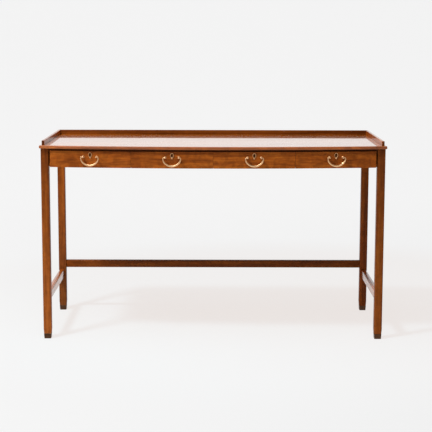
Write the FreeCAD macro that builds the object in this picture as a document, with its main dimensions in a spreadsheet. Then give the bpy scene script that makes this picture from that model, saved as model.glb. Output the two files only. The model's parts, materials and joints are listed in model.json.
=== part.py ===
import FreeCAD, Part
import math
import os
import re
import Sketcher

# Bow-fronted writing desk on four square legs, with four dovetailed drawers in one row.
# Millimetres. X runs to the right, Y to the back, Z up. The origin lies on the floor,
# under the middle of the top.

# Driving dimensions: name, value, what it measures.
SIZES = [
    ("top_width", 1320, "top, side to side"),
    ("top_depth", 555, "top, from its front corners to its back edge"),
    ("top_bow", 50, "how far the front edge bows out beyond its corners"),
    ("top_height", 751.5, "writing surface above the floor"),
    ("top_thickness", 11.5, "edge of the top"),
    ("top_corner_round", 2.5, "upright corners of the top"),
    ("top_round", 3.5, "upper arris of the top"),
    ("top_under_bevel", 1.5, "lower arris of the top"),
    ("top_overhang", 10, "top edge in front of the drawer fronts"),
    ("gallery_height", 17, "low rail round the back and sides of the top"),
    ("gallery_thickness", 10.5, "gallery rail"),
    ("gallery_side_inset", 7.5, "gallery in from the side edges of the top"),
    ("gallery_back_inset", 8.5, "gallery in from the back edge of the top"),
    ("gallery_setback", 23, "side gallery behind the front corners of the top"),
    ("gallery_round", 2.2, "arris of the gallery"),
    ("leg_width", 30, "square leg"),
    ("leg_side_inset", 5, "legs in from the side edges of the top"),
    ("leg_front_setback", 8, "front legs behind the front corners of the top"),
    ("leg_back_inset", 8.5, "rear legs in from the back edge of the top"),
    ("leg_bevel", 1.2, "eased arris of the legs"),
    ("foot_taper", 38, "height over which each leg narrows to the floor"),
    ("foot_width", 24.5, "width of the tapered leg at the floor"),
    ("sabot_height", 20, "metal foot cap"),
    ("sabot_wall", 2, "metal foot cap, wall and floor"),
    ("sabot_proud", 0.5, "foot cap outside the tapered leg"),
    ("frieze_height", 71, "underside of the top to the bottom of the drawer fronts"),
    ("apron_thickness", 20, "side and rear aprons"),
    ("apron_inset", 2, "aprons in from the outer faces of the legs"),
    ("board_round", 1.5, "lower arris of the aprons"),
    ("tenon_length", 10, "tenon in its leg"),
    ("tenon_shoulder", 5, "shoulder round the tenons of aprons and stretchers"),
    ("side_stretcher_level", 144, "bottom of the side stretchers above the floor"),
    ("side_stretcher_height", 34, "side stretcher"),
    ("side_stretcher_thickness", 22.5, "side stretcher"),
    ("side_stretcher_inset", 0.5, "side stretcher in from the outer faces of the legs"),
    ("side_stretcher_round", 9, "rounded back of the side stretchers"),
    ("rear_stretcher_level", 184.5, "bottom of the rear stretcher above the floor"),
    ("rear_stretcher_height", 30.5, "rear stretcher"),
    ("rear_stretcher_thickness", 20, "rear stretcher"),
    ("rear_stretcher_inset", 5, "rear stretcher in from the back faces of the legs"),
    ("stretcher_round", 2.5, "other arrises of the stretchers"),
    ("upper_rail_thickness", 14, "rail over the drawers"),
    ("lower_rail_thickness", 12, "rail under the drawers"),
    ("lower_rail_raise", 2, "lower rail above the bottom of the drawer fronts"),
    ("rail_depth", 50, "front rails, front to back"),
    ("rail_tenon_setback", 9, "rail tenon behind the face of its leg"),
    ("rail_tenon_width", 16, "rail tenon, front to back"),
    ("rail_tenon_shoulder", 2.5, "shoulder over and under the rail tenons"),
    ("divider_thickness", 12, "upright between two drawers"),
    ("divider_housing", 5, "divider let into the rear apron"),
    ("runner_reach", 14, "runners and kickers beyond the guide beside them"),
    ("guide_height", 14, "guide strip above the outer runners"),
    ("corner_block_size", 18, "glue block between the rear apron and the top"),
    ("corner_block_length", 60, "glue block, side to side"),
    ("front_top_gap", 8.5, "drawer front below the top"),
    ("front_thickness", 22, "drawer front, lip and block together"),
    ("lip_thickness", 8, "lip that laps over rails and dividers"),
    ("lip_clearance", 0.3, "lip in front of the rails"),
    ("drawer_gap", 1, "between drawer fronts"),
    ("leg_gap", 5.5, "drawer fronts beside the legs"),
    ("block_clearance", 0.5, "front block above the lower rail"),
    ("drawer_clearance", 1, "drawer sides to their guides"),
    ("drawer_top_clearance", 1, "drawer sides under the kickers"),
    ("drawer_rear_clearance", 22, "drawer behind its sides"),
    ("side_thickness", 9, "drawer side"),
    ("back_thickness", 9, "drawer back"),
    ("back_setback", 8, "drawer back in front of the ends of the sides"),
    ("back_housing", 4, "drawer back let into the sides"),
    ("bottom_thickness", 5, "drawer bottom"),
    ("groove_depth", 4, "groove for the drawer bottom"),
    ("groove_level", 6, "groove above the lower edge of the sides"),
    ("tail_length", 10, "dovetail in the drawer front"),
    ("tail_width", 10, "dovetail at its root"),
    ("tail_flare", 1.5, "dovetail, widening on each side"),
    ("tail_root", 5, "dovetail carried back into the side"),
    ("round_sides", 12, "flat sides of each small round piece"),
    ("handle_spacing", 52, "between the two handle posts"),
    ("handle_raise", 1, "handle posts above the middle of the drawer's inside"),
    ("post_reach", 12, "bail axis in front of the drawer front"),
    ("post_head", 7.8, "ball head of a post"),
    ("post_neck", 5, "neck of a post"),
    ("post_shank", 4.4, "threaded shank through the drawer front"),
    ("rosette_width", 9.5, "round foot of a post"),
    ("rosette_thickness", 1.6, "rim of the round foot"),
    ("rosette_rise", 1.4, "slope from the rim to the neck"),
    ("nut_width", 9, "hexagon nut across its corners"),
    ("nut_thickness", 3, "hexagon nut"),
    ("nut_tail", 1, "shank beyond its nut"),
    ("pin_clearance", 0.2, "bail pin in its post"),
    ("bail_width", 71, "bail over all"),
    ("bail_drop", 32, "bail axis to the middle of its grip"),
    ("bail_pin", 3.2, "pin of the bail in its post"),
    ("bail_pin_depth", 2, "pin past the middle of the post"),
    ("bail_neck", 4.2, "bail beside the posts"),
    ("bail_grip", 7, "bail at its grip"),
    ("bail_bend", 3.4, "bend beside each post"),
    ("bail_side_radius", 24, "curve of each side of the bail"),
    ("escutcheon_drop", 7, "middle of the keyhole plate below the top of the lock"),
    ("escutcheon_width", 14.5, "keyhole plate"),
    ("escutcheon_height", 19, "keyhole plate"),
    ("escutcheon_dome", 2.2, "keyhole plate"),
    ("drop_width", 7, "small drop under the keyhole plate"),
    ("drop_height", 7.5, "small drop under the keyhole plate"),
    ("drop_offset", 10.5, "small drop below the middle of the keyhole plate"),
    ("keyhole_width", 5.6, "round head of the keyhole"),
    ("keyhole_slot", 3.8, "slot of the keyhole"),
    ("keyhole_rise", 2.5, "round head above the middle of the keyhole plate"),
    ("keyhole_length", 10, "slot below the middle of the round head"),
    ("lock_width", 40, "lock case"),
    ("lock_depth", 9, "lock case, let in flush with the back of the drawer front"),
    ("lock_clearance", 3, "lock case above the drawer bottom"),
    ("bolt_width", 18, "lock bolt"),
    ("bolt_thickness", 5, "lock bolt"),
    ("bolt_share", 0.57, "height of the lock bolt, as a share of the lock case"),
    ("bolt_travel", 8, "how far the bolt shoots"),
    ("bolt_clearance", 0.3, "bolt in its case"),
    ("mortise_clearance", 1, "bolt in its mortise in the upper rail"),
]

DRAWER_COUNT = 4
DRAWERS = range(1, DRAWER_COUNT + 1)
DIVIDERS = range(1, DRAWER_COUNT)
SIDES = (("left", -1), ("right", 1))

# Levels, faces and radii that follow from the driving dimensions.
LAYOUT = [
    ("half_width", "top_width / 2"),
    ("back_edge", "(top_depth + top_bow) / 2"),
    ("front_corner", "back_edge - top_depth"),
    ("bow_radius", "(half_width ^ 2 + top_bow ^ 2) / (2 * top_bow)"),
    ("bow_center", "bow_radius - back_edge"),
    ("top_underside", "top_height - top_thickness"),
    ("gallery_outer", "half_width - gallery_side_inset"),
    ("gallery_rear", "back_edge - gallery_back_inset"),
    ("gallery_face", "gallery_rear - gallery_thickness"),
    ("leg_outer", "half_width - leg_side_inset"),
    ("leg_inner", "leg_outer - leg_width"),
    ("leg_axis", "leg_outer - leg_width / 2"),
    ("front_leg_face", "front_corner + leg_front_setback"),
    ("front_leg_back", "front_leg_face + leg_width"),
    ("rear_leg_back", "back_edge - leg_back_inset"),
    ("rear_leg_face", "rear_leg_back - leg_width"),
    ("leg_span", "rear_leg_face - front_leg_back"),
    ("sabot_top_width", "foot_width + (leg_width - foot_width) * sabot_height / foot_taper"),
    ("sabot_floor_width", "foot_width + (leg_width - foot_width) * sabot_wall / foot_taper"),
    ("toe_inset", "2 * (sabot_wall - sabot_proud)"),
    ("frieze_bottom", "top_underside - frieze_height"),
    ("apron_outer", "leg_outer - apron_inset"),
    ("apron_inner", "apron_outer - apron_thickness"),
    ("rear_apron_face", "rear_leg_back - apron_inset - apron_thickness"),
    ("face_radius", "bow_radius - top_overhang"),
    ("lip_radius", "face_radius - lip_thickness"),
    ("block_radius", "face_radius - front_thickness"),
    ("rail_radius", "lip_radius - lip_clearance"),
    ("rail_back_radius", "rail_radius - rail_depth"),
    ("rail_middle_radius", "rail_radius - rail_depth / 2"),
    ("lower_rail_bottom", "frieze_bottom + lower_rail_raise"),
    ("runner_top", "lower_rail_bottom + lower_rail_thickness"),
    ("upper_rail_bottom", "top_underside - upper_rail_thickness"),
    ("front_row", "2 * (leg_inner - leg_gap)"),
    ("front_width", f"(front_row - {DRAWER_COUNT - 1} * drawer_gap) / {DRAWER_COUNT}"),
    ("front_pitch", "front_width + drawer_gap"),
    ("box_half", "front_pitch / 2 - divider_thickness / 2 - drawer_clearance"),
    ("box_top", "upper_rail_bottom - drawer_top_clearance"),
    ("box_back", "rear_apron_face - drawer_rear_clearance"),
    ("box_height", "box_top - runner_top"),
    ("inner_half", "box_half - side_thickness"),
    ("bottom_level", "runner_top + groove_level"),
    ("bottom_top", "bottom_level + bottom_thickness"),
    ("back_rear", "box_back - back_setback"),
    ("guide_face", f"front_pitch * {DRAWER_COUNT - 1} / 2 + box_half + drawer_clearance"),
    ("front_height", "frieze_height - front_top_gap"),
    ("handle_height", "(bottom_top + box_top) / 2 + handle_raise"),
    ("plate_height", "box_top - escutcheon_drop"),
    ("lock_height", "box_top - bottom_top - lock_clearance"),
    ("bolt_height", "lock_height * bolt_share"),
]
for drawer in DRAWERS:
    LAYOUT.append((f"drawer_x_{drawer}", f"front_pitch * ({drawer} - {DRAWER_COUNT + 1} / 2)"))
    LAYOUT.append((f"drawer_turn_{drawer}", f"asin(drawer_x_{drawer} / face_radius)"))
for divider in DIVIDERS:
    LAYOUT.append((f"divider_x_{divider}", f"front_pitch * ({divider} - {DRAWER_COUNT} / 2)"))

X_AXIS = FreeCAD.Vector(1, 0, 0)
Y_AXIS = FreeCAD.Vector(0, 1, 0)
Z_AXIS = FreeCAD.Vector(0, 0, 1)
NEAR = 0.01
FLAT = 1e-6
HEAD_STEPS = 4
HEAD_END = 150

doc = FreeCAD.newDocument("WritingDesk")
sizes = doc.addObject("Spreadsheet::Sheet", "Sizes")
layout = doc.addObject("Spreadsheet::Sheet", "Layout")
owner = {}
nodes = []


def formula(text, sheet=""):
    """Name the sheet that holds each size in an expression, unless it is this sheet."""
    def full_name(match):
        name = match.group(0)
        home = owner.get(name, sheet)
        return name if home == sheet else f"{home}.{name}"
    return re.sub(r"[a-z][a-z0-9_]*", full_name, text)


for row, (alias, size, meaning) in enumerate(SIZES, 1):
    sizes.set(f"A{row}", alias)
    sizes.set(f"B{row}", str(size))
    sizes.set(f"C{row}", meaning)
    sizes.setAlias(f"B{row}", alias)
    owner[alias] = "Sizes"
for row, (alias, text) in enumerate(LAYOUT, 1):
    layout.set(f"A{row}", alias)
    layout.set(f"B{row}", "=" + formula(text, "Layout"))
    layout.setAlias(f"B{row}", alias)
    owner[alias] = "Layout"
doc.recompute()


def number(text):
    """The present value of an expression in named sizes."""
    result = sizes.evalExpression(formula(text))
    return float(getattr(result, "Value", result))


def bind(item, path, text):
    item.setExpression(path, formula(text))


def place(item, x="0", y="0", z="0"):
    for axis, text in zip("xyz", (x, y, z)):
        bind(item, f"Placement.Base.{axis}", text)


def turn(item, axis, degrees):
    item.Placement = FreeCAD.Placement(FreeCAD.Vector(), FreeCAD.Rotation(axis, degrees))


def set_on_front(item, drawer, along="0", height="handle_height"):
    """Stand an item on a drawer's face: its -Y points out, its X along the face."""
    angle = f"drawer_turn_{drawer}"
    bind(item, "Placement.Rotation.Angle", angle)
    place(
        item,
        f"face_radius * sin({angle}) + ({along}) * cos({angle})",
        f"bow_center - face_radius * cos({angle}) + ({along}) * sin({angle})",
        height,
    )


def node(item):
    nodes.append(item)
    return item


def new_body(label):
    body = doc.addObject("PartDesign::Body", label)
    body.Label = label
    return body


def add_block(body, name, corner, size, kind="Additive"):
    block = body.newObject(f"PartDesign::{kind}Box", name)
    for path, text in zip(("Length", "Width", "Height"), size):
        bind(block, path, text)
    place(block, *corner)
    return block


def board(label, corner, size):
    """A square-edged board with one corner at the given place."""
    body = new_body(label)
    add_block(body, label + "_stock", ("0", "0", "0"), size)
    place(body, *corner)
    return body


def add_wedge(body, name, low, high, low_width, high_width, kind="Additive"):
    """A square block round the body's Z axis that changes width from low to high."""
    wedge = body.newObject(f"PartDesign::{kind}Wedge", name)
    turn(wedge, X_AXIS, 90)
    bind(wedge, "Ymin", low)
    bind(wedge, "Ymax", high)
    for axis in "XZ":
        bind(wedge, f"{axis}min", f"-({low_width}) / 2")
        bind(wedge, f"{axis}max", f"({low_width}) / 2")
        bind(wedge, f"{axis}2min", f"-({high_width}) / 2")
        bind(wedge, f"{axis}2max", f"({high_width}) / 2")
    return wedge


def ease_edges(body, name, size, wanted, kind="Fillet"):
    """Round or bevel the edges of the body's last feature that the test picks out."""
    doc.recompute()
    base = body.Tip
    names = [f"Edge{index}" for index, edge in enumerate(base.Shape.Edges, 1) if wanted(edge)]
    easing = body.newObject(f"PartDesign::{kind}", name)
    easing.Base = (base, names)
    bind(easing, "Radius" if kind == "Fillet" else "Size", size)


def level_edge(edge, height):
    return abs(edge.BoundBox.ZMin - height) < NEAR and abs(edge.BoundBox.ZMax - height) < NEAR


def upright_edge(edge):
    return edge.BoundBox.ZLength > NEAR and edge.BoundBox.XLength + edge.BoundBox.YLength < NEAR


def long_edge(edge, axis):
    box = edge.BoundBox
    lengths = {"x": box.XLength, "y": box.YLength, "z": box.ZLength}
    return lengths.pop(axis) > NEAR and sum(lengths.values()) < NEAR


def plane_sketch(body, name, level, role="XY_Plane"):
    sketch = body.newObject("Sketcher::SketchObject", name)
    plane = next(item for item in body.Origin.OriginFeatures if item.Role == role)
    sketch.AttachmentSupport = (plane, [""])
    sketch.MapMode = "FlatFace"
    bind(sketch, "AttachmentOffset.Base.z", level)
    return sketch


def measure(sketch, kind, *references):
    """Add a dimension to a sketch; the last reference is its expression."""
    *places, text = references
    index = sketch.addConstraint(Sketcher.Constraint(kind, *places, number(text)))
    sketch.setExpression(f"Constraints[{index}]", formula(text))


def join_corners(sketch, edges):
    for first, second in zip(edges, edges[1:] + edges[:1]):
        sketch.addConstraint(Sketcher.Constraint("Coincident", first, 2, second, 1))


def add_polygon(sketch, corners):
    """A closed outline of straight lines through corners given as expressions."""
    points = [FreeCAD.Vector(number(x), number(y), 0) for x, y in corners]
    ends = points[1:] + points[:1]
    edges = [sketch.addGeometry(Part.LineSegment(*pair)) for pair in zip(points, ends)]
    join_corners(sketch, edges)
    for edge, (x, y) in zip(edges, corners):
        measure(sketch, "DistanceX", -1, 1, edge, 1, x)
        measure(sketch, "DistanceY", -1, 1, edge, 1, y)


def add_eased_square(sketch, width, bevel):
    """A square round the origin with its corners taken off."""
    half = f"({width}) / 2"
    flat = f"({width}) / 2 - {bevel}"
    add_polygon(sketch, [
        (half, f"-({flat})"), (half, flat), (flat, half), (f"-({flat})", half),
        (f"-({half})", flat), (f"-({half})", f"-({flat})"),
        (f"-({flat})", f"-({half})"), (flat, f"-({half})"),
    ])


def bow_point(radius, x):
    """Where a curve about the centre of the bow crosses a line in the Y direction."""
    return f"bow_center - sqrt(({radius}) ^ 2 - ({x}) ^ 2)"


def bow_arc(radius, x_from, x_to):
    start = FreeCAD.Vector(number(x_from), number(bow_point(radius, x_from)), 0)
    end = FreeCAD.Vector(number(x_to), number(bow_point(radius, x_to)), 0)
    x_middle = f"(({x_from}) + ({x_to})) / 2"
    middle = FreeCAD.Vector(number(x_middle), number(bow_point(radius, x_middle)), 0)
    return Part.Arc(start, middle, end)


def fix_bow(sketch, arc, radius):
    sketch.addConstraint(Sketcher.Constraint("PointOnObject", arc, 3, -2))
    measure(sketch, "DistanceY", -1, 1, arc, 3, "bow_center")
    measure(sketch, "Radius", arc, radius)


def add_bow_outline(sketch, left, right, front_radius, back_radius=None, back_line=None):
    """An outline with a bowed front, two straight ends and a bowed or straight back."""
    front = sketch.addGeometry(bow_arc(front_radius, left, right))
    left_rear = back_line or bow_point(back_radius, left)
    right_rear = back_line or bow_point(back_radius, right)
    front_left = FreeCAD.Vector(number(left), number(bow_point(front_radius, left)), 0)
    front_right = FreeCAD.Vector(number(right), number(bow_point(front_radius, right)), 0)
    back_left = FreeCAD.Vector(number(left), number(left_rear), 0)
    back_right = FreeCAD.Vector(number(right), number(right_rear), 0)
    right_end = sketch.addGeometry(Part.LineSegment(front_right, back_right))
    left_end = sketch.addGeometry(Part.LineSegment(back_left, front_left))
    if back_line:
        back = sketch.addGeometry(Part.LineSegment(back_right, back_left))
        back_first, back_last = 1, 2
    else:
        back = sketch.addGeometry(bow_arc(back_radius, left, right))
        back_first, back_last = 2, 1
    # An arc runs counter-clockwise, so its own start is its left end here.
    sketch.addConstraint(Sketcher.Constraint("Coincident", front, 1, left_end, 2))
    sketch.addConstraint(Sketcher.Constraint("Coincident", front, 2, right_end, 1))
    sketch.addConstraint(Sketcher.Constraint("Coincident", back, back_first, right_end, 2))
    sketch.addConstraint(Sketcher.Constraint("Coincident", back, back_last, left_end, 1))
    for end, x in ((left_end, left), (right_end, right)):
        sketch.addConstraint(Sketcher.Constraint("Vertical", end))
        measure(sketch, "DistanceX", -1, 1, end, 1, x)
    fix_bow(sketch, front, front_radius)
    if back_line:
        sketch.addConstraint(Sketcher.Constraint("Horizontal", back))
        measure(sketch, "DistanceY", -1, 1, back, 1, back_line)
    else:
        fix_bow(sketch, back, back_radius)


def add_pad(body, name, sketch, length):
    pad = body.newObject("PartDesign::Pad", name)
    pad.Profile = sketch
    bind(pad, "Length", length)
    return pad


def bowed_body(label, level, height, *edges, **back):
    body = new_body(label)
    sketch = plane_sketch(body, label + "_plan", level)
    add_bow_outline(sketch, *edges, **back)
    add_pad(body, label + "_pad", sketch, height)
    return body


def group(label, items):
    compound = doc.addObject("Part::Compound", label)
    compound.Label = label
    compound.Links = items
    return compound


def cut(label, base, tools):
    """The base with one tool after another taken out of it."""
    result = base
    for step, tool in enumerate(tools, 1):
        name = label if step == len(tools) else f"{label}_step_{step}"
        difference = doc.addObject("Part::Cut", name)
        difference.Label = name
        difference.Base = result
        difference.Tool = tool
        result = difference
    return result


def tenoned_board(label, axis, corner, size, rounds=()):
    """A board between two legs, with a tenon on each end along the given axis."""
    body = board(label, corner, size)
    for name, radius, wanted in rounds:
        ease_edges(body, f"{label}_{name}", radius, wanted)
    growth = ["tenon_length" if letter == axis else "-tenon_shoulder" for letter in "xyz"]
    tenon_corner = [f"-({amount})" for amount in growth]
    tenon_size = [f"{length} + 2 * ({amount})" for length, amount in zip(size, growth)]
    add_block(body, label + "_tenon", tenon_corner, tenon_size)
    return body


# Front rails, bowed like the top, with a tenon into each front leg
def front_rail(label, level, thickness):
    body = bowed_body(
        label, level, thickness,
        "-leg_inner", "leg_inner", "rail_radius", back_radius="rail_back_radius",
    )
    for side, start in (("left", "-leg_inner - tenon_length"), ("right", "leg_inner - tenon_length")):
        add_block(
            body, f"{label}_tenon_{side}",
            (start, "front_leg_face + rail_tenon_setback", f"{level} + rail_tenon_shoulder"),
            ("2 * tenon_length", "rail_tenon_width", f"{thickness} - 2 * rail_tenon_shoulder"),
        )
    return body


lower_rail = node(front_rail("lower_front_rail", "lower_rail_bottom", "lower_rail_thickness"))
upper_rail_blank = front_rail("upper_rail_blank", "upper_rail_bottom", "upper_rail_thickness")
mortises = []
for drawer in DRAWERS:
    mortise = new_body(f"bolt_mortise_{drawer}")
    add_block(
        mortise, f"bolt_mortise_{drawer}_block",
        (
            "-bolt_width / 2 - mortise_clearance",
            "front_thickness - lock_depth / 2 - bolt_thickness / 2 - mortise_clearance",
            "0",
        ),
        (
            "bolt_width + 2 * mortise_clearance",
            "bolt_thickness + 2 * mortise_clearance",
            "bolt_travel - drawer_top_clearance + mortise_clearance",
        ),
    )
    set_on_front(mortise, drawer, height="upper_rail_bottom")
    mortises.append(mortise)
upper_rail = node(cut("upper_front_rail", upper_rail_blank, mortises))

# Aprons and stretchers, tenoned into the legs
aprons = {}
stretchers = {}
for side, sign in SIDES:
    aprons[side] = node(tenoned_board(
        f"side_apron_{side}", "y",
        ("apron_inner" if sign > 0 else "-apron_outer", "front_leg_back", "frieze_bottom"),
        ("apron_thickness", "leg_span", "frieze_height"),
        [("round", "board_round", lambda edge: long_edge(edge, "y") and edge.BoundBox.ZMax < NEAR)],
    ))
    half_height = number("side_stretcher_height / 2")
    stretcher_left = "leg_outer - side_stretcher_inset - side_stretcher_thickness"
    stretchers[side] = node(tenoned_board(
        f"side_stretcher_{side}", "y",
        (
            stretcher_left if sign > 0 else "side_stretcher_inset - leg_outer",
            "front_leg_back", "side_stretcher_level",
        ),
        ("side_stretcher_thickness", "leg_span", "side_stretcher_height"),
        [
            ("back", "side_stretcher_round",
             lambda edge: long_edge(edge, "y") and edge.BoundBox.ZMin > half_height),
            ("foot", "stretcher_round",
             lambda edge: long_edge(edge, "y") and edge.BoundBox.ZMax < NEAR),
        ],
    ))
rear_stretcher = node(tenoned_board(
    "rear_stretcher", "x",
    (
        "-leg_inner", "rear_leg_back - rear_stretcher_inset - rear_stretcher_thickness",
        "rear_stretcher_level",
    ),
    ("2 * leg_inner", "rear_stretcher_thickness", "rear_stretcher_height"),
    [("round", "stretcher_round", lambda edge: long_edge(edge, "x"))],
))

# Dividers between the drawers, notched round both rails and housed in the rear apron
dividers = []
for divider in DIVIDERS:
    x = f"divider_x_{divider}"
    front = bow_point("rail_radius", f"abs({x}) + divider_thickness / 2")
    stock = board(
        f"divider_{divider}_stock_board",
        (f"{x} - divider_thickness / 2", front, "lower_rail_bottom"),
        (
            "divider_thickness",
            f"rear_apron_face + divider_housing - ({front})",
            "top_underside - lower_rail_bottom",
        ),
    )
    dividers.append(node(cut(f"divider_{divider}", stock, [lower_rail, upper_rail_blank])))

rear_apron_blank = tenoned_board(
    "rear_apron_blank", "x",
    ("-leg_inner", "rear_apron_face", "frieze_bottom"),
    ("2 * leg_inner", "apron_thickness", "frieze_height"),
    [("round", "board_round", lambda edge: long_edge(edge, "x") and edge.BoundBox.ZMax < NEAR)],
)
rear_apron = node(cut("rear_apron", rear_apron_blank, dividers))

# Runners under the drawer sides and kickers over them, one pair at each guide face
runner_boards = []
kicker_boards = []


def strip_pair(name, left, right, start, length):
    """A runner and the kicker above it, between two X places."""
    width = f"({right}) - ({left})"
    runner_boards.append(board(
        f"runner_{name}", (left, start, "lower_rail_bottom"), (width, length, "lower_rail_thickness")))
    kicker_boards.append(board(
        f"kicker_{name}", (left, start, "upper_rail_bottom"), (width, length, "upper_rail_thickness")))


for side, sign in SIDES:
    near, far = "guide_face - runner_reach", "apron_inner"
    left, right = (near, far) if sign > 0 else (f"-({far})", f"-({near})")
    strip_pair(f"outer_{side}", left, right, "front_leg_back", "leg_span")
    add_block(
        runner_boards[-1], f"guide_{side}",
        ("runner_reach" if sign > 0 else "0", "0", "lower_rail_thickness"),
        ("apron_inner - guide_face", "leg_span", "guide_height"),
    )
for divider in DIVIDERS:
    x = f"divider_x_{divider}"
    start = bow_point("rail_middle_radius", x)
    for side, sign in SIDES:
        face = f"{x} + {sign} * divider_thickness / 2"
        edge = f"{face} + {sign} * runner_reach"
        left, right = (face, edge) if sign > 0 else (edge, face)
        strip_pair(f"{divider}_{side}", left, right, start, f"rear_apron_face - ({start})")

node(cut("drawer_runners", group("runner_boards", runner_boards), [lower_rail]))
node(cut("drawer_kickers", group("kicker_boards", kicker_boards), [upper_rail_blank]))

# Glue blocks in the corner between the rear apron and the top, one behind each drawer
blocks = []
for drawer in DRAWERS:
    block = new_body(f"corner_block_{drawer}")
    section = plane_sketch(
        block, f"corner_block_{drawer}_section", f"drawer_x_{drawer} - corner_block_length / 2", "YZ_Plane")
    add_polygon(section, [
        ("rear_apron_face", "top_underside"),
        ("rear_apron_face - corner_block_size", "top_underside"),
        ("rear_apron_face", "top_underside - corner_block_size"),
    ])
    add_pad(block, f"corner_block_{drawer}_pad", section, "corner_block_length")
    blocks.append(block)
node(group("corner_blocks", blocks))

# Top and its gallery
top_panel = node(bowed_body(
    "top_panel", "top_underside", "top_thickness",
    "-half_width", "half_width", "bow_radius", back_line="back_edge",
))
ease_edges(top_panel, "top_corners", "top_corner_round", upright_edge)
ease_edges(top_panel, "top_arris", "top_round", lambda edge: level_edge(edge, number("top_height")))
ease_edges(
    top_panel, "top_under_arris", "top_under_bevel",
    lambda edge: level_edge(edge, number("top_underside")), "Chamfer",
)

gallery_back = node(board(
    "gallery_back",
    ("-gallery_outer", "gallery_face", "top_height"),
    ("2 * gallery_outer", "gallery_thickness", "gallery_height"),
))
ease_edges(
    gallery_back, "gallery_back_arris", "gallery_round",
    lambda edge: level_edge(edge, number("gallery_height")),
)
for side, sign in SIDES:
    start = "front_corner + gallery_setback"
    rail = node(board(
        f"gallery_{side}",
        ("gallery_outer - gallery_thickness" if sign > 0 else "-gallery_outer", start, "top_height"),
        ("gallery_thickness", f"gallery_face - ({start})", "gallery_height"),
    ))
    ease_edges(
        rail, f"gallery_{side}_arris", "gallery_round",
        lambda edge: edge.BoundBox.ZMax > NEAR and edge.BoundBox.YMin < NEAR,
    )

# Legs, mortised for what meets them, and the metal caps on their tapered feet
foot_caps = []
for side, sign in SIDES:
    for end in ("front", "rear"):
        name = f"leg_{end}_{side}"
        blank = new_body(name + "_blank")
        ankle = plane_sketch(blank, name + "_ankle", "sabot_height")
        add_eased_square(ankle, "sabot_top_width", "leg_bevel")
        shin = plane_sketch(blank, name + "_shin", "foot_taper")
        add_eased_square(shin, "leg_width", "leg_bevel")
        taper = blank.newObject("PartDesign::AdditiveLoft", name + "_taper")
        taper.Profile = ankle
        taper.Sections = [shin]
        taper.Ruled = True
        shaft = plane_sketch(blank, name + "_section", "foot_taper")
        add_eased_square(shaft, "leg_width", "leg_bevel")
        add_pad(blank, name + "_shaft", shaft, "top_underside - foot_taper")
        toe = (
            "sabot_wall", "sabot_height",
            "sabot_floor_width - toe_inset", "sabot_top_width - toe_inset",
        )
        add_wedge(blank, name + "_toe", *toe)
        place(blank, f"{sign} * leg_axis", f"{end}_leg_face + leg_width / 2")
        meeting = [aprons[side], stretchers[side]]
        meeting += [lower_rail, upper_rail] if end == "front" else [rear_apron, rear_stretcher]
        node(cut(name, blank, meeting))
        cap = new_body(f"sabot_{end}_{side}")
        add_wedge(
            cap, f"sabot_{end}_{side}_wall", "0", "sabot_height",
            "foot_width + 2 * sabot_proud", "sabot_top_width + 2 * sabot_proud",
        )
        add_wedge(cap, f"sabot_{end}_{side}_socket", *toe, kind="Subtractive")
        place(cap, f"{sign} * leg_axis", f"{end}_leg_face + leg_width / 2")
        foot_caps.append(cap)
node(group("sabots", foot_caps))


# Drawers
def add_dovetails(body, drawer, sign):
    """Two dovetails that reach from a drawer side into the back of its bowed front."""
    left = f"drawer_x_{drawer} + {sign} * (box_half + inner_half) / 2 - side_thickness / 2"
    shoulder = bow_point("block_radius", f"drawer_x_{drawer} + {sign} * (box_half + inner_half) / 2")
    root, tip = f"{shoulder} + tail_root", f"{shoulder} - tail_length"
    tails = plane_sketch(body, body.Label + "_tails", left, "YZ_Plane")
    for quarter in (1, 3):
        middle = f"runner_top + box_height * {quarter} / 4"
        add_polygon(tails, [
            (root, f"{middle} - tail_width / 2"),
            (root, f"{middle} + tail_width / 2"),
            (tip, f"{middle} + tail_width / 2 + tail_flare"),
            (tip, f"{middle} - tail_width / 2 - tail_flare"),
        ])
    add_pad(body, body.Label + "_dovetails", tails, "side_thickness")
    return body


def drawer_side(drawer, side, sign):
    """One drawer side: a board that ends on the bowed front, with dovetails into it."""
    outer = f"drawer_x_{drawer} + {sign} * box_half"
    inner = f"drawer_x_{drawer} + {sign} * inner_half"
    left, right = (inner, outer) if sign > 0 else (outer, inner)
    body = bowed_body(
        f"drawer_{drawer}_side_{side}", "runner_top", "box_height",
        left, right, "block_radius", back_line="box_back",
    )
    return add_dovetails(body, drawer, sign)


def front_board(drawer):
    """A bowed drawer front: a lip all round a thicker block that fills the opening."""
    name = f"drawer_{drawer}_front_board"
    x = f"drawer_x_{drawer}"
    body = bowed_body(
        name, "frieze_bottom", "front_height",
        f"{x} - front_width / 2", f"{x} + front_width / 2", "face_radius", back_radius="lip_radius",
    )
    sketch = plane_sketch(body, name + "_block_plan", "runner_top + block_clearance")
    add_bow_outline(
        sketch, f"{x} - box_half", f"{x} + box_half", "lip_radius + lip_thickness / 2",
        back_radius="block_radius",
    )
    add_pad(body, name + "_block", sketch, "box_height - block_clearance")
    return body


def ring(center, across, up, half_width, half_height, sides=None):
    """The corners of a many-sided round or oval outline about a centre."""
    count = sides or round(number("round_sides"))
    angles = [2 * math.pi * step / count for step in range(count)]
    return [
        center + across * (half_width * math.cos(angle)) + up * (half_height * math.sin(angle))
        for angle in angles
    ]


def flat_face(*corners):
    return Part.Face(Part.makePolygon(list(corners) + [corners[0]]))


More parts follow.
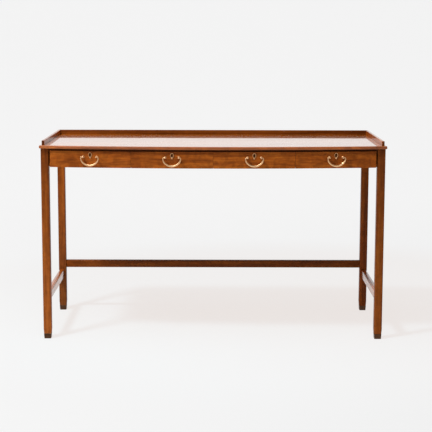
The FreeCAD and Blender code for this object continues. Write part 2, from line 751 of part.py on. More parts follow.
def skin(rings):
    """A closed solid of flat faces through outlines with equally many corners."""
    faces = [flat_face(*rings[0]), flat_face(*rings[-1])]
    for low, high in zip(rings, rings[1:]):
        for index in range(len(low)):
            first, second = low[index - 1], low[index]
            third, fourth = high[index], high[index - 1]
            normal = (second - first).cross(third - first).normalize()
            if abs(normal.dot(fourth - first)) < FLAT:
                faces.append(flat_face(first, second, third, fourth))
            else:
                faces.append(flat_face(first, second, third))
                faces.append(flat_face(first, third, fourth))
    shell = Part.makeShell(faces)
    shell.sewShape()
    return Part.makeSolid(shell)


def turned(profile, sides=None):
    """A round solid along Y through pairs of a place and a radius."""
    return skin([ring(Y_AXIS * y, X_AXIS, Z_AXIS, radius, radius, sides) for y, radius in profile])


def domed_oval(width, height, rise, level):
    """An oval plate with a sloping rim, standing on the XZ plane."""
    center = Z_AXIS * level
    return skin([
        ring(center - Y_AXIS * out, X_AXIS, Z_AXIS, width / 2 - inset, height / 2 - inset)
        for out, inset in ((0, 0), (rise / 2, 0), (rise, rise))
    ])


def escutcheon_plate():
    """A domed oval plate with a small drop under it."""
    rise = number("escutcheon_dome")
    plate = domed_oval(number("escutcheon_width"), number("escutcheon_height"), rise, 0)
    drop = domed_oval(number("drop_width"), number("drop_height"), rise, -number("drop_offset"))
    return plate.fuse(drop)


def keyhole():
    """The keyhole as a solid, from in front of its plate to the middle of the lock."""
    out = number("-2 * escutcheon_dome")
    end = number("front_thickness - lock_depth / 2")
    rise = number("keyhole_rise")
    radius = number("keyhole_width / 2")
    slot = number("keyhole_slot")
    length = number("keyhole_length")
    head = skin([ring(FreeCAD.Vector(0, y, rise), X_AXIS, Z_AXIS, radius, radius) for y in (out, end)])
    corner = FreeCAD.Vector(-slot / 2, out, rise - length)
    return head.fuse(Part.makeBox(slot, end - out, length, corner))


def shank_profile():
    return [
        (number("front_thickness + nut_thickness + nut_tail"), number("post_shank / 2")),
        (0, number("post_shank / 2")),
    ]


def handle_post():
    """A turned post with a shank, a round foot, a neck and a ball head bored for the bail."""
    rim = number("rosette_thickness")
    head = number("post_head / 2")
    neck = number("post_neck / 2")
    reach = number("post_reach")
    profile = [
        (0, number("rosette_width / 2")),
        (-rim, number("rosette_width / 2")),
        (-rim - number("rosette_rise"), neck),
    ]
    first = math.degrees(math.asin(neck / head))
    for step in range(HEAD_STEPS + 1):
        angle = math.radians(first + (HEAD_END - first) * step / HEAD_STEPS)
        profile.append((head * math.cos(angle) - reach, head * math.sin(angle)))
    bore = number("bail_pin / 2 + pin_clearance")
    eye = skin([ring(FreeCAD.Vector(x, -reach, 0), Y_AXIS, Z_AXIS, bore, bore) for x in (-head, head)])
    return turned(profile).cut(eye).fuse(turned(shank_profile()))


def post_nut():
    """The hexagon nut that holds a post behind the drawer front."""
    front = number("front_thickness")
    radius = number("nut_width / 2")
    hexagon = turned([(front, radius), (front + number("nut_thickness"), radius)], 6)
    return hexagon.cut(turned(shank_profile()))


def bail_stations():
    """Headings, centres and radii of the round sections along the right half of a bail."""
    pin = number("bail_pin / 2")
    neck = number("bail_neck / 2")
    grip = number("bail_grip / 2")
    shoulder = (neck + 2 * grip) / 3
    widest = number("bail_width / 2 - bail_neck / 2")
    drop = number("bail_drop")
    bend = number("bail_bend")
    side = number("bail_side_radius")
    reach = drop - bend
    base = ((widest - side) ** 2 + reach ** 2 - side ** 2) / (2 * (reach - side))
    meeting = math.degrees(math.atan2(base - reach, widest - side))
    stations = [(0, number("handle_spacing / 2 - bail_pin_depth"), 0, pin)]
    arcs = [
        (widest - bend, -bend, bend, 90, 0, 3, pin, neck),
        (widest - side, -bend, side, 0, -meeting, 5, neck, shoulder),
        (0, base - drop, base, -meeting, -90, 3, shoulder, grip),
    ]
    for x, z, radius, first, last, steps, thin, thick in arcs:
        for step in range(steps):
            share = step / steps
            angle = math.radians(first + (last - first) * share)
            stations.append((
                math.degrees(angle) - 90,
                x + radius * math.cos(angle),
                z + radius * math.sin(angle),
                thin + (thick - thin) * share,
            ))
    return stations + [(180, 0, -drop, grip)]


def bail_solid():
    """A swan-neck bail: two pins, two bends and a grip that swells towards its middle."""
    right = bail_stations()
    left = [(-angle, -x, z, radius) for angle, x, z, radius in reversed(right[:-1])]
    rings = []
    for angle, x, z, radius in right + left:
        heading = math.radians(angle)
        center = FreeCAD.Vector(x, -number("post_reach"), z)
        normal = FreeCAD.Vector(-math.sin(heading), 0, math.cos(heading))
        rings.append(ring(center, Y_AXIS, normal, radius, radius))
    return skin(rings)


def fitting(label, shape, drawer, along="0", height="handle_height"):
    """A small piece, or the hole for one, set on a drawer's face."""
    item = doc.addObject("Part::Feature", label)
    item.Label = label
    item.Shape = shape
    set_on_front(item, drawer, along, height)
    return item


for drawer in DRAWERS:
    x = f"drawer_x_{drawer}"
    bottom = node(bowed_body(
        f"drawer_{drawer}_bottom", "bottom_level", "bottom_thickness",
        f"{x} - inner_half - groove_depth", f"{x} + inner_half + groove_depth",
        "block_radius + groove_depth", back_line="back_rear",
    ))
    back = node(board(
        f"drawer_{drawer}_back",
        (f"{x} - inner_half - back_housing", "back_rear - back_thickness", "bottom_top"),
        ("2 * (inner_half + back_housing)", "back_thickness", "box_top - bottom_top"),
    ))
    side_boards = group(
        f"drawer_{drawer}_side_boards", [drawer_side(drawer, side, sign) for side, sign in SIDES])
    node(cut(f"drawer_{drawer}_sides", side_boards, [back, bottom]))
    lock_block = new_body(f"lock_block_{drawer}")
    lock_base = "box_top - handle_height"
    add_block(
        lock_block, f"lock_block_{drawer}_stock",
        ("-lock_width / 2", "front_thickness - lock_depth", f"{lock_base} - lock_height"),
        ("lock_width", "lock_depth", "lock_height"),
    )
    set_on_front(lock_block, drawer)
    recess = new_body(f"lock_recess_{drawer}")
    add_block(
        recess, f"lock_recess_{drawer}_room",
        ("-lock_width / 2", "front_thickness - lock_depth", f"{lock_base} - lock_height"),
        ("lock_width", "2 * lock_depth", "2 * lock_height"),
    )
    set_on_front(recess, drawer)
    channel = new_body(f"bolt_channel_{drawer}")
    bolt = node(new_body(f"drawer_{drawer}_lock_bolt"))
    for body, room in ((channel, "bolt_clearance"), (bolt, "0")):
        add_block(
            body, body.Label + "_block",
            (
                f"-bolt_width / 2 - {room}",
                f"front_thickness - lock_depth / 2 - bolt_thickness / 2 - {room}",
                f"{lock_base} - bolt_height - {room}",
            ),
            (f"bolt_width + 2 * {room}", f"bolt_thickness + 2 * {room}", f"bolt_height + {room}"),
        )
        set_on_front(body, drawer)
    hole = fitting(f"keyhole_{drawer}", keyhole(), drawer, height="plate_height")
    node(cut(f"drawer_{drawer}_lock_case", lock_block, [channel, hole]))
    plate = fitting(f"escutcheon_{drawer}_plate", escutcheon_plate(), drawer, height="plate_height")
    node(cut(f"drawer_{drawer}_escutcheon", plate, [hole]))
    posts = []
    for side, sign in SIDES:
        along = f"{sign} * handle_spacing / 2"
        posts.append(fitting(f"post_{drawer}_{side}", handle_post(), drawer, along))
        posts.append(fitting(f"nut_{drawer}_{side}", post_nut(), drawer, along))
    hardware = node(group(f"drawer_{drawer}_handle_posts", posts))
    sockets = [add_dovetails(new_body(f"sockets_{drawer}_{side}"), drawer, sign) for side, sign in SIDES]
    node(cut(
        f"drawer_{drawer}_front", front_board(drawer), sockets + [bottom, recess, hole, hardware]))
    node(fitting(f"drawer_{drawer}_bail", bail_solid(), drawer))

doc.recompute()
for item in doc.Objects:
    if "Invalid" in item.State or "Error" in item.State:
        raise RuntimeError(f"{item.Label} did not build: {item.State}")
for item in nodes:
    if item.Shape.isNull() or not item.Shape.isValid() or not item.Shape.Solids:
        raise RuntimeError(f"{item.Label} has no valid solid")
os.makedirs("parts", exist_ok=True)
for item in nodes:
    item.Shape.exportStep(f"parts/{item.Label}.step")
    print(f"{item.Label}: {len(item.Shape.Solids)} solids, {item.Shape.Volume / 1000:.2f} cm3")
print(f"{len(nodes)} nodes")
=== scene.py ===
import json
import math
import bmesh
import bpy
from mathutils import Matrix, Vector


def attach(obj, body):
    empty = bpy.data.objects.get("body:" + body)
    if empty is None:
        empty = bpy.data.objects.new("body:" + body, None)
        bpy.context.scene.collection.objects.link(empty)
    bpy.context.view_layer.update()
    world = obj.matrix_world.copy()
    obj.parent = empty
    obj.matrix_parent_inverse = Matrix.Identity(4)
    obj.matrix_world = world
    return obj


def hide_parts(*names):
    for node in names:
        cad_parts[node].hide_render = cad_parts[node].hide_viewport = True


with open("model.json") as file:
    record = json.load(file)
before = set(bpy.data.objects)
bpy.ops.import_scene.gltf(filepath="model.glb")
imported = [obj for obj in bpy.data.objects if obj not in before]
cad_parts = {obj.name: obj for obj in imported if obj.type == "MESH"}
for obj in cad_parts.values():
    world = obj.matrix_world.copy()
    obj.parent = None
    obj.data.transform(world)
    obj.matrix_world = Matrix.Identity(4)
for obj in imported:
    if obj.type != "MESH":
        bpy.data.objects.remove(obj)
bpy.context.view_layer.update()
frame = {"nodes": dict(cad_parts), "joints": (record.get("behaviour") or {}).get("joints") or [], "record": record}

NODES = frame["nodes"]
JOINTS = {joint["name"]: joint for joint in frame["joints"]}
BODIES = frame["record"]["behaviour"]["bodies"]
BODY_OF = {node: body for body, nodes in BODIES.items() for node in nodes}
DRAWERS = (1, 2, 3, 4)
SIDES = ("left", "right")
MM = 0.001
FULL_TURN = 2 * math.pi
QUARTER_TURN = math.pi / 2
TRUE_SCALE = (1, 1, 1)
WHITE = (1, 1, 1, 1)


# Node materials
EDGE_SAMPLES = 4


class Graph:
    """A new material with its Principled shader, and short calls that add nodes to it."""

    def __init__(self, name):
        self.material = bpy.data.materials.new(name)
        self.material.use_nodes = True
        self.tree = self.material.node_tree
        self.shader = self.tree.nodes["Principled BSDF"]

    def add(self, kind, inputs=(), **settings):
        item = self.tree.nodes.new(kind)
        for key, value in settings.items():
            setattr(item, key, value)
        for key, value in dict(inputs).items():
            self.feed(item.inputs[key], value)
        return item

    def feed(self, socket, value):
        if isinstance(value, bpy.types.NodeSocket):
            self.tree.links.new(value, socket)
        else:
            socket.default_value = value

    def set(self, **inputs):
        for key, value in inputs.items():
            self.feed(self.shader.inputs[key.replace("_", " ")], value)

    def place(self, scale, start=(0, 0, 0)):
        """Object coordinates, in metres, moved by a start and stretched by a scale."""
        source = self.add("ShaderNodeTexCoord").outputs["Object"]
        mapping = self.add("ShaderNodeMapping", {"Vector": source, "Location": start, "Scale": scale})
        return mapping.outputs["Vector"]

    def coordinate(self, axis):
        """One object coordinate, in metres."""
        return self.add("ShaderNodeSeparateXYZ", {"Vector": self.place(TRUE_SCALE)}).outputs[axis]

    def noise(self, vector, scale, detail, roughness, distortion):
        item = self.add("ShaderNodeTexNoise", {
            "Vector": vector, "Scale": scale, "Detail": detail,
            "Roughness": roughness, "Distortion": distortion,
        })
        return item.outputs["Fac"]

    def steps(self, value, low, high, out_low=0.0, out_high=1.0):
        """A smooth step of a value from one range to another."""
        item = self.add("ShaderNodeMapRange", {
            "Value": value, "From Min": low, "From Max": high, "To Min": out_low, "To Max": out_high,
        }, interpolation_type="SMOOTHSTEP")
        return item.outputs["Result"]

    def math(self, operation, first, second):
        item = self.add("ShaderNodeMath", operation=operation)
        self.feed(item.inputs[0], first)
        self.feed(item.inputs[1], second)
        return item.outputs["Value"]

    def mix(self, share, first, second, blend="MIX"):
        inputs = {"Fac": share, "Color1": first, "Color2": second}
        return self.add("ShaderNodeMixRGB", inputs, blend_type=blend).outputs["Color"]

    def tint(self, color, by):
        return self.mix(1.0, color, by, "MULTIPLY")

    def facing(self, axis):
        """How far a surface faces along an axis, from -1 to 1."""
        normal = self.add("ShaderNodeNewGeometry").outputs["Normal"]
        return self.add("ShaderNodeSeparateXYZ", {"Vector": normal}).outputs[axis]

    def gray(self, value):
        inputs = {"Red": value, "Green": value, "Blue": value}
        return self.add("ShaderNodeCombineColor", inputs).outputs["Color"]

    def ramp(self, value, stops):
        item = self.add("ShaderNodeValToRGB", {"Fac": value})
        elements = item.color_ramp.elements
        for element, (position, color) in zip(elements, (stops[0], stops[-1])):
            element.position, element.color = position, color
        for position, color in stops[1:-1]:
            elements.new(position).color = color
        return item.outputs["Color"]

    def edges(self, radius, low, high):
        """1 along the edges of a piece, 0 on its flats."""
        bent = self.add("ShaderNodeBevel", {"Radius": radius}, samples=EDGE_SAMPLES).outputs["Normal"]
        flat = self.add("ShaderNodeNewGeometry").outputs["True Normal"]
        alike = self.add("ShaderNodeVectorMath", operation="DOT_PRODUCT")
        self.feed(alike.inputs[0], bent)
        self.feed(alike.inputs[1], flat)
        return self.steps(self.math("SUBTRACT", 1.0, alike.outputs["Value"]), low, high)

    def bump(self, height, distance, strength):
        item = self.add("ShaderNodeBump", {"Height": height, "Distance": distance, "Strength": strength})
        self.set(Normal=item.outputs["Normal"])


def rgb(red, green, blue):
    """A colour written in screen values, 0 to 255."""
    def linear(value):
        value /= 255
        return value / 12.92 if value <= 0.04045 else ((value + 0.055) / 1.055) ** 2.4

    return linear(red), linear(green), linear(blue), 1.0


def darker(color, share):
    """A share of a colour's light."""
    return [part * share for part in color[:3]] + [1.0]


# Timber: its tones, and the scale, detail, roughness and distortion of each noise in it
GRAIN = {"x": (1.0, 26.0, 26.0), "y": (26.0, 1.0, 26.0), "z": (26.0, 26.0, 1.0)}
MAHOGANY = {"dark": rgb(92, 40, 6), "middle": rgb(138, 68, 14), "light": rgb(168, 92, 26)}
LINING = {"dark": rgb(142, 104, 64), "middle": rgb(176, 137, 92), "light": rgb(200, 165, 118)}
TONE_PLACES = {"dark": 0.34, "middle": 0.5, "light": 0.66}
BROAD_NOISE = (1.3, 3.0, 0.5, 0.5)
BROAD_SHARE = 0.55
FIBRE_NOISE = (8.0, 6.0, 0.62, 0.3)
FIBRE_SHARE = 0.45
FIBRE_RELIEF = 0.4
PORE_NOISE = (36.0, 3.0, 0.6, 0.0)
PORE_RANGE = (0.6, 0.74)
PORE_SHARE = 0.4
FIGURE_NOISE = (1.0, 2.0, 0.5, 0.8)
FIGURE_SCALE = (38, 38, 38)
FIGURE_RANGE = (0.32, 0.68)
WOOD_DEPTH = 0.06 * MM
WOOD_RELIEF = 0.4
# Worn arrises: their width, how sharp they must be, and how much paler and duller they are
WOOD_EDGE = 1.5 * MM
WOOD_EDGE_RANGE = (0.02, 0.3)
WOOD_WEAR = 0.25
WOOD_EDGE_BLUR = 0.1
# How squarely a level face and a grain end must face, and the heights of the painted change of light and shade
# down a leg
LEVEL_RANGE = (0.9, 1.0)
COAT_RANGE = (0.97, 1.0)
END_RANGE = (0.6, 0.95)
FOOT_RANGE = (0.05, 0.6)
END_TONE = 0.35
END_COAT = 0.3
# Roughness from the dense to the open fibres, about the timber's own
BLUR_RANGE = (0.3, 0.7)
BLUR_BELOW = 0.05
BLUR_ABOVE = 0.08


def wood(
    name, axis, tones, start=(0, 0, 0), tone=1.0, figure=0.1, rough=0.45, shine=0.1,
    coat=None, fade_and_sheen=None, foot=None, ends=0.85,
):
    """Timber with its fibres along one axis, open pores, a cross figure, dark ends and worn edges."""
    graph = Graph(name)
    vector = graph.place(GRAIN[axis], start)
    broad = graph.noise(vector, *BROAD_NOISE)
    fibre = graph.noise(vector, *FIBRE_NOISE)
    pores = graph.steps(graph.noise(vector, *PORE_NOISE), *PORE_RANGE)
    broad_part = graph.math("MULTIPLY", broad, BROAD_SHARE)
    fibre_part = graph.math("MULTIPLY", fibre, FIBRE_SHARE)
    stops = [(place, tones[key]) for key, place in TONE_PLACES.items()]
    color = graph.ramp(graph.math("ADD", broad_part, fibre_part), stops)
    cross = graph.noise(graph.place(FIGURE_SCALE, start), *FIGURE_NOISE)
    # The tone scales the whole colour: painted light and shade, set piece by piece by how much light falls there
    shade = graph.steps(cross, *FIGURE_RANGE, tone * (1 - figure), tone * (1 + figure))
    color = graph.tint(color, graph.gray(shade))
    color = graph.mix(graph.math("MULTIPLY", pores, PORE_SHARE), color, tones["dark"])
    arris_mask = graph.edges(WOOD_EDGE, *WOOD_EDGE_RANGE)
    color = graph.mix(graph.math("MULTIPLY", arris_mask, WOOD_WEAR), color, tones["light"])
    # Level faces are made paler: a sun fade and a painted sheen
    if fade_and_sheen:
        paler_face = graph.tint(color, fade_and_sheen)
        color = graph.mix(graph.steps(graph.facing("Z"), *LEVEL_RANGE), color, paler_face)
    # Painted light and shade: the colour changes towards the foot of a leg, lighter or darker as light falls there
    if foot:
        rise = graph.steps(graph.coordinate("Z"), *FOOT_RANGE)
        color = graph.tint(color, graph.mix(rise, foot, WHITE))
    end_grain = graph.steps(graph.math("ABSOLUTE", graph.facing(axis.upper()), 0.0), *END_RANGE)
    color = graph.mix(graph.math("MULTIPLY", end_grain, ends), color, darker(tones["dark"], END_TONE))
    blur = graph.steps(fibre, *BLUR_RANGE, rough - BLUR_BELOW, rough + BLUR_ABOVE)
    blur = graph.math("ADD", blur, graph.math("MULTIPLY", arris_mask, WOOD_EDGE_BLUR))
    if coat:
        level_blur, upright_blur, index, upright_weight = coat
        extra = graph.steps(graph.facing("Z"), *LEVEL_RANGE, upright_blur - level_blur, 0.0)
        blur = graph.math("ADD", blur, extra)
        weight = graph.steps(graph.facing("Z"), *COAT_RANGE, upright_weight, 1.0)
        weight = graph.math("MULTIPLY", weight, graph.steps(end_grain, 0.0, 1.0, 1.0, END_COAT))
        coat_blur = graph.steps(graph.facing("Z"), *LEVEL_RANGE, upright_blur, level_blur)
        graph.set(Coat_Weight=weight, Coat_Roughness=coat_blur, Coat_IOR=index)
    graph.set(Base_Color=color, Specular_IOR_Level=shine, Roughness=blur)
    relief = graph.math("SUBTRACT", graph.math("MULTIPLY", fibre, FIBRE_RELIEF), pores)
    graph.bump(relief, WOOD_DEPTH, WOOD_RELIEF)
    return graph.material


# Blur on level and on upright faces, index, and weight on upright faces, of a coat of polish
STRETCHER_POLISH = (0.12, 0.12, 1.4, 1.0)
SIDE_POLISH = (0.12, 0.12, 1.4, 0.5)
TOP_POLISH = (0.03, 0.45, 1.5, 0.3)
# Painted light and shade: these pieces are lit and shaded copies of one mahogany, darker or lighter by how much
# light falls on them
RAIL_WOOD = wood("mahogany_rail", "x", MAHOGANY, tone=0.64)
GALLERY_WOOD = wood("mahogany_gallery", "x", MAHOGANY, tone=0.49)
SIDE_WOOD = wood("mahogany_side", "y", MAHOGANY, tone=1.15, coat=SIDE_POLISH)
STRETCHER_WOOD = wood("mahogany_stretcher", "y", MAHOGANY, tone=1.25, coat=STRETCHER_POLISH)
REAR_STRETCHER_WOOD = wood("mahogany_rear_stretcher", "x", MAHOGANY, tone=0.6)
# Painted light and shade: each leg is a lit or shaded copy of one mahogany, and its lower part is tinted lighter
# or darker as light falls there
LEG_LIGHT_AND_SHADE = {"front_left": 0.66, "front_right": 0.5, "rear_left": 0.82, "rear_right": 0.78}
FOOT_LIGHT_AND_SHADE = {
    "front_left": (1.7, 1.95, 3.4, 1.0),
    "front_right": (1.3, 1.3, 1.35, 1.0),
    "rear_left": (0.7, 0.8, 1.6, 1.0),
    "rear_right": (1.2, 1.15, 1.7, 1.0),
}
LEG_WOODS = {
    corner: wood(f"mahogany_leg_{corner}", "z", MAHOGANY, tone=tone, foot=FOOT_LIGHT_AND_SHADE[corner])
    for corner, tone in LEG_LIGHT_AND_SHADE.items()
}
LININGS = {axis: wood(f"lining_{axis}", axis, LINING, rough=0.55, shine=0.2) for axis in "xy"}
# The top's level face is paler: a sun fade and a painted sheen for the light its polish gives back
TOP_FADE_AND_SHEEN = (1.8, 2.1, 2.1, 1.0)
TOP_WOOD = wood(
    "mahogany_top", "x", MAHOGANY, rough=0.2, shine=0.5, coat=TOP_POLISH, fade_and_sheen=TOP_FADE_AND_SHEEN, ends=0.45,
)
# Painted shade: the upper front rail is dark mahogany for the shadow under the top's overhang
SHADED_WOOD = wood("mahogany_shaded", "x", MAHOGANY, tone=0.4)
# The fronts' tone paints the light that falls on them
FRONT_TONE = 0.86
FRONT_FIGURE = 0.16
FRONT_SHIFT = 0.31


def front_wood(drawer):
    """The timber of one drawer front, each cut from another height of the same log."""
    return wood(
        f"mahogany_front_{drawer}", "x", MAHOGANY,
        start=(0, 0, FRONT_SHIFT * drawer), tone=FRONT_TONE, figure=FRONT_FIGURE,
    )


# Metal: clouds of tarnish, scratches, dark hollows, and worn edges that on the darkened caps also paint a glint
CLOUD_NOISE = (95.0, 4.0, 0.55, 0.3)
SCRATCH_NOISE = (420.0, 3.0, 0.7, 0.0)
SCRATCH_SCALE = (1, 1, 14)
SCRATCH_DEPTH = 0.006 * MM
SCRATCH_RELIEF = 0.25
TARNISH_RANGE = (0.4, 0.8)
TARNISH_SHARE = 0.6
DULL_RANGE = (0.3, 0.75)
DULL_ABOVE = 0.16
HOLLOW_RANGE = (0.35, 0.85)
HOLLOW_SHARE = 0.85
HOLLOW_TONE = 0.2
METAL_EDGE = 0.8 * MM
METAL_EDGE_RANGE = (0.01, 0.25)


def metal(name, base, tarnish, rough, wear_and_glint_color, wear_and_glint, depth=3 * MM):
    """Metal with soft scratches, tarnish in patches, darker hollows, and brighter edges, worn and in places a
    painted glint.
    """
    graph = Graph(name)
    cloud = graph.noise(graph.place(TRUE_SCALE), *CLOUD_NOISE)
    scratch = graph.noise(graph.place(SCRATCH_SCALE), *SCRATCH_NOISE)
    color = graph.mix(graph.steps(cloud, *TARNISH_RANGE, 0.0, TARNISH_SHARE), base, tarnish)
    # Darker where other surfaces come close, found by ambient occlusion
    open_sky = graph.add("ShaderNodeAmbientOcclusion", {"Distance": depth}, samples=EDGE_SAMPLES)
    hollow = graph.steps(open_sky.outputs["AO"], *HOLLOW_RANGE, HOLLOW_SHARE, 0.0)
    color = graph.mix(hollow, color, darker(tarnish, HOLLOW_TONE))
    arris_mask = graph.edges(METAL_EDGE, *METAL_EDGE_RANGE)
    color = graph.mix(graph.math("MULTIPLY", arris_mask, wear_and_glint), color, wear_and_glint_color)
    blur = graph.steps(cloud, *DULL_RANGE, rough, rough + DULL_ABOVE)
    graph.set(Base_Color=color, Metallic=1.0, Roughness=blur)
    graph.bump(scratch, SCRATCH_DEPTH, SCRATCH_RELIEF)
    return graph.material


LOCK_HOLLOW = 12 * MM
BRASS = metal("satin_brass", rgb(250, 206, 156), rgb(210, 154, 100), 0.4, rgb(252, 222, 178), 0.5)
# Painted shade: the sunk field of each keyhole plate is darkened brass for the shade and dark reflections in it
FIELD_SHADE_BRASS = metal("brass_painted_shade", rgb(156, 94, 42), rgb(104, 60, 24), 0.4, rgb(170, 120, 74), 0.4)
# The caps' brighter edges are wear and also a painted glint
DARK_BRASS = metal("darkened_brass", rgb(86, 62, 46), rgb(38, 26, 18), 0.3, rgb(190, 150, 112), 0.8)
STEEL = metal(
    "plain_steel", rgb(112, 108, 104), rgb(62, 56, 50), 0.34, rgb(160, 156, 152), 0.5, LOCK_HOLLOW,
)


# Pieces
def add_piece(name, mesh, materials, node):
    """A mesh that stands for a node and rides on its body."""
    for material in materials:
        mesh.materials.append(material)
    item = bpy.data.objects.new(name, mesh)
    bpy.context.scene.collection.objects.link(item)
    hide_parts(node)
    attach(item, BODY_OF[node])
    return item


WELD = 0.01 * MM
FLAT_ANGLE = math.radians(0.05)
EDGE_ANGLE = math.radians(30)
WOOD_EASE = 0.7 * MM
TOP_EASE = 0.4 * MM
CAP_EASE = 0.8 * MM
LOCK_EASE = 0.4 * MM


def finish_node(node, material, ease=WOOD_EASE):
    """A node's own solid with its arrises rounded over."""
    shape = bmesh.new()
    shape.from_mesh(NODES[node].data)
    bmesh.ops.remove_doubles(shape, verts=shape.verts, dist=WELD)
    bmesh.ops.dissolve_limit(shape, angle_limit=FLAT_ANGLE, verts=shape.verts, edges=shape.edges)
    arrises = [edge for edge in shape.edges if edge.is_manifold and edge.calc_face_angle() > EDGE_ANGLE]
    bmesh.ops.bevel(
        shape, geom=arrises, offset=ease, offset_type="OFFSET", segments=2, profile=0.5,
        affect="EDGES", clamp_overlap=True,
    )
    mesh = bpy.data.meshes.new(f"{node}_finished")
    shape.to_mesh(mesh)
    shape.free()
    if "custom_normal" in mesh.attributes:
        mesh.attributes.remove(mesh.attributes["custom_normal"])
    mesh.shade_smooth()
    item = add_piece(f"{node}_finished", mesh, [material], node)
    item.modifiers.new("even_shading", "WEIGHTED_NORMAL")


for node in ("lower_front_rail", "rear_apron"):
    finish_node(node, RAIL_WOOD)
finish_node("gallery_back", GALLERY_WOOD)
finish_node("rear_stretcher", REAR_STRETCHER_WOOD)
for side in SIDES:
    for node in (f"gallery_{side}", f"side_apron_{side}"):
        finish_node(node, SIDE_WOOD)
    finish_node(f"side_stretcher_{side}", STRETCHER_WOOD)
for corner, material in LEG_WOODS.items():
    finish_node(f"leg_{corner}", material)
for number in DRAWERS[:-1]:
    finish_node(f"divider_{number}", SIDE_WOOD)
# The upper front rail takes the painted shade
finish_node("upper_front_rail", SHADED_WOOD)
finish_node("top_panel", TOP_WOOD, TOP_EASE)
finish_node("sabots", DARK_BRASS, CAP_EASE)
for node in ("drawer_runners", "drawer_kickers"):
    finish_node(node, LININGS["y"])
finish_node("corner_blocks", LININGS["x"])


# Drawer fittings, made in the drawer's own frame: X along its face, -Y out, Z up
POST_REACH = 12 * MM
POST_SPACING = 52 * MM
FRONT_THICKNESS = 22 * MM
PLATE_RISE = 7.5 * MM
SMOOTH_ANGLE = math.radians(38)


def face_frame(drawer):
    """From a drawer face's own frame, at the height of its handle, to the row frame."""
    swing = JOINTS[f"bail_{drawer}_swing"]
    along = -Vector(swing["axis"]).normalized()
    up = Vector((0, 0, 1))
    back = up.cross(along)
    turn = Matrix((along, back, up)).transposed().to_4x4()
    return Matrix.Translation(Vector(swing["pos_m"]) + back * POST_REACH) @ turn


def skin(shape, rings, close=True):
    """Join rings of equally many corners, and cap the ends unless they stay open."""
    loops = [[shape.verts.new(corner) for corner in ring] for ring in rings]
    for low, high in zip(loops, loops[1:]):
        for index in range(len(low)):
            shape.faces.new((low[index - 1], low[index], high[index], high[index - 1]))
    if close:
        shape.faces.new(loops[0])
        shape.faces.new(loops[-1])


def as_mesh(name, shape, place):
    """The finished mesh of a fitting, moved to its drawer."""
    bmesh.ops.recalc_face_normals(shape, faces=shape.faces)
    mesh = bpy.data.meshes.new(name)
    shape.to_mesh(mesh)
    shape.free()
    mesh.transform(place)
    mesh.shade_smooth()
    mesh.set_sharp_from_angle(angle=SMOOTH_ANGLE)
    return mesh


def circle(sides):
    """Directions evenly round a circle."""
    angles = [FULL_TURN * step / sides for step in range(sides)]
    return [(math.cos(angle), math.sin(angle)) for angle in angles]


def turned(shape, x, profile, sides):
    """A turned solid on the Y axis at x, through pairs of a place and a radius."""
    skin(shape, [
        [Vector((x + radius * across, y, radius * up)) for across, up in circle(sides)]
        for y, radius in profile
    ])


# Bails
BAIL_WIDTH = 71 * MM
BAIL_DROP = 32 * MM
BAIL_PIN = 1.6 * MM
BAIL_NECK = 2.1 * MM
BAIL_GRIP = 3.5 * MM
BAIL_BEND = 3.4 * MM
BAIL_SIDE = 24 * MM
BAIL_SIDES = 16
PIN_DEPTH = 2 * MM


def bail_mesh(name, place):
    """A swan-neck bail, thin beside its posts and swelling to a round grip."""
    widest = BAIL_WIDTH / 2 - BAIL_NECK
    reach = BAIL_DROP - BAIL_BEND
    base = ((widest - BAIL_SIDE) ** 2 + reach ** 2 - BAIL_SIDE ** 2) / (2 * (reach - BAIL_SIDE))
    meeting = -math.atan2(base - reach, widest - BAIL_SIDE)
    shoulder = (BAIL_NECK + 2 * BAIL_GRIP) / 3
    # Centre, radius, first and last angle, steps, and thickness at both ends of each arc
    arcs = (
        (widest - BAIL_BEND, -BAIL_BEND, BAIL_BEND, QUARTER_TURN, 0.0, 6, BAIL_PIN, BAIL_NECK),
        (widest - BAIL_SIDE, -BAIL_BEND, BAIL_SIDE, 0.0, meeting, 14, BAIL_NECK, shoulder),
        (0.0, base - BAIL_DROP, base, meeting, -QUARTER_TURN, 10, shoulder, BAIL_GRIP),
    )
    stations = [(QUARTER_TURN, POST_SPACING / 2 - PIN_DEPTH, 0.0, BAIL_PIN)]
    for x, z, radius, first, last, count, thin, thick in arcs:
        for step in range(count):
            share = step / count
            angle = first + (last - first) * share
            stations.append((
                angle, x + radius * math.cos(angle), z + radius * math.sin(angle),
                thin + (thick - thin) * share,
            ))
    middle = [(-QUARTER_TURN, 0.0, -BAIL_DROP, BAIL_GRIP)]
    mirrored = [(math.pi - angle, -x, z, radius) for angle, x, z, radius in reversed(stations)]
    side = Vector((0, 1, 0))
    rings = []
    for angle, x, z, radius in stations + middle + mirrored:
        out = Vector((math.cos(angle), 0, math.sin(angle)))
        center = Vector((x, -POST_REACH, z))
        rings.append([
            center + out * (radius * across) + side * (radius * up)
            for across, up in circle(BAIL_SIDES)
        ])
    shape = bmesh.new()
    skin(shape, rings)
    return as_mesh(name, shape, place)


# Posts
HEAD = 3.9 * MM
HEAD_FRONT = 3.3 * MM
HEAD_STEPS = 16
HEAD_FIRST = 4
HEAD_NUDGE = 0.01
SHANK = 2.2 * MM
SHANK_CHAMFER = 0.4 * MM
SHANK_TAIL = 1 * MM
NUT = 4.5 * MM
NUT_THICKNESS = 3 * MM
NUT_CHAMFER = 0.4 * MM
POST_SIDES = 28
NUT_SIDES = 6
# Height above the drawer face and radius, in millimetres, from the foot up to the neck
POST_PROFILE = [
    (0.0, 4.5), (0.2, 4.75), (0.9, 4.75), (1.3, 4.5), (1.5, 4.0), (1.4, 3.6),
    (1.8, 3.3), (2.6, 2.8), (3.6, 2.5), (5.2, 2.3), (7.0, 2.3), (8.3, 2.5),
]


